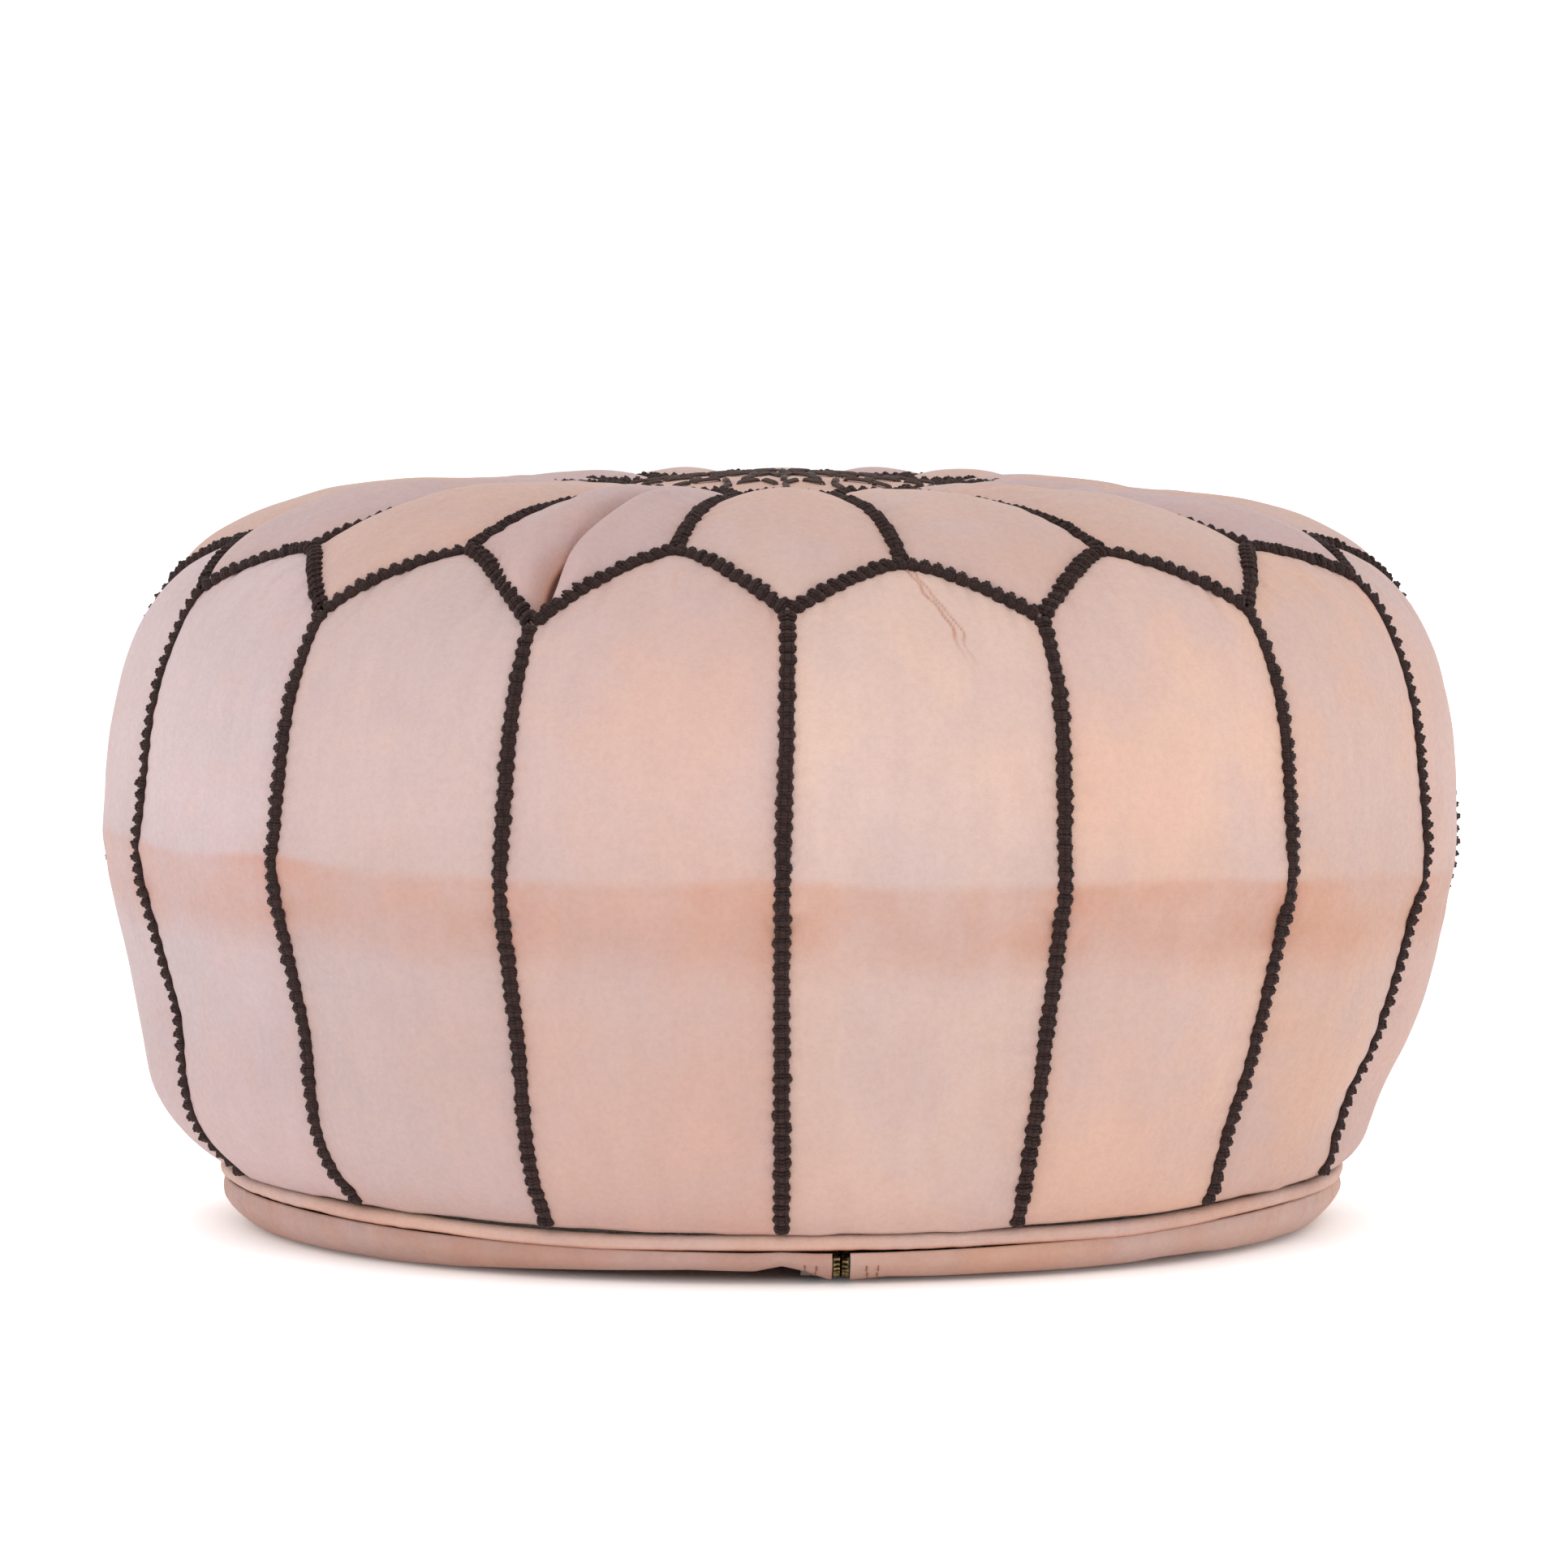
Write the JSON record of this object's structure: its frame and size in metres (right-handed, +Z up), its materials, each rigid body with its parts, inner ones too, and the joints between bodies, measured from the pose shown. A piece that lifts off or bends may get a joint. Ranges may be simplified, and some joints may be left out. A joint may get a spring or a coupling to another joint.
{
  "type": "leather pouf",
  "caption": "Round stuffed leather floor pouf with arched side panels, petal top panels, dark laced braid seams, embroidered centre and a zipped base.",
  "frame": {"origin": "centre of the base, on the surface that the pouf stands on", "axes": "+Z up through the middle of the top; the front seam faces -Y and +X is to its right; the zip runs along Y"},
  "size_m": [0.541, 0.541, 0.3021],
  "materials": {
    "side_leather": "matte natural nude leather, fine grain, warm mottling",
    "top_leather": "matte natural nude leather, slightly greyer and pinker than the sides",
    "base_leather": "matte natural leather, creased along the welt",
    "braid_thread": "dark brown twisted artificial silk thread",
    "stitch_thread": "brown sewing thread",
    "welt_cord": "plain jute cord",
    "zip_tape": "woven olive-brown zip tape",
    "zip_brass": "antique brass, dull",
    "stuffing": "cotton and foam stuffing"
  },
  "bodies": {
    "cover": {"side_panel_01": "side_leather", "side_panel_02": "side_leather", "side_panel_03": "side_leather", "side_panel_04": "side_leather", "side_panel_05": "side_leather", "side_panel_06": "side_leather", "side_panel_07": "side_leather", "side_panel_08": "side_leather", "side_panel_09": "side_leather", "side_panel_10": "side_leather", "side_panel_11": "side_leather", "side_panel_12": "side_leather", "side_panel_13": "side_leather", "side_panel_14": "side_leather", "side_panel_15": "side_leather", "side_panel_16": "side_leather", "top_petal_01": "top_leather", "top_petal_02": "top_leather", "top_petal_03": "top_leather", "top_petal_04": "top_leather", "top_petal_05": "top_leather", "top_petal_06": "top_leather", "top_petal_07": "top_leather", "top_petal_08": "top_leather", "top_petal_09": "top_leather", "top_petal_10": "top_leather", "top_petal_11": "top_leather", "top_petal_12": "top_leather", "top_petal_13": "top_leather", "top_petal_14": "top_leather", "top_petal_15": "top_leather", "top_petal_16": "top_leather", "centre_medallion": "top_leather", "medallion_embroidery": "braid_thread", "side_seam_braids": "braid_thread", "arch_braid": "braid_thread", "top_seam_braids": "braid_thread", "centre_ring_braid": "braid_thread", "base_welt": "base_leather", "base_welt_cord": "welt_cord", "base_panel_left": "base_leather", "base_panel_right": "base_leather", "zip_tape_left": "zip_tape", "zip_tape_right": "zip_tape", "zip_teeth_left": "zip_brass", "zip_teeth_right": "zip_brass", "zip_stitching": "stitch_thread", "stuffing": "stuffing"},
    "slider": {"zip_slider": "zip_brass"},
    "pull": {"zip_pull": "zip_brass"}
  },
  "joints": [
    {"name": "zip_slide", "type": "slide", "parent": "cover", "child": "slider", "axis": [0, -1, 0], "range_m": [0, 0.32]},
    {"name": "pull_flip", "type": "hinge", "parent": "slider", "child": "pull", "pos_m": [0.022, 0.16, 0.00475], "axis": [1, 0, 0], "range_deg": [0, 180]}
  ]
}
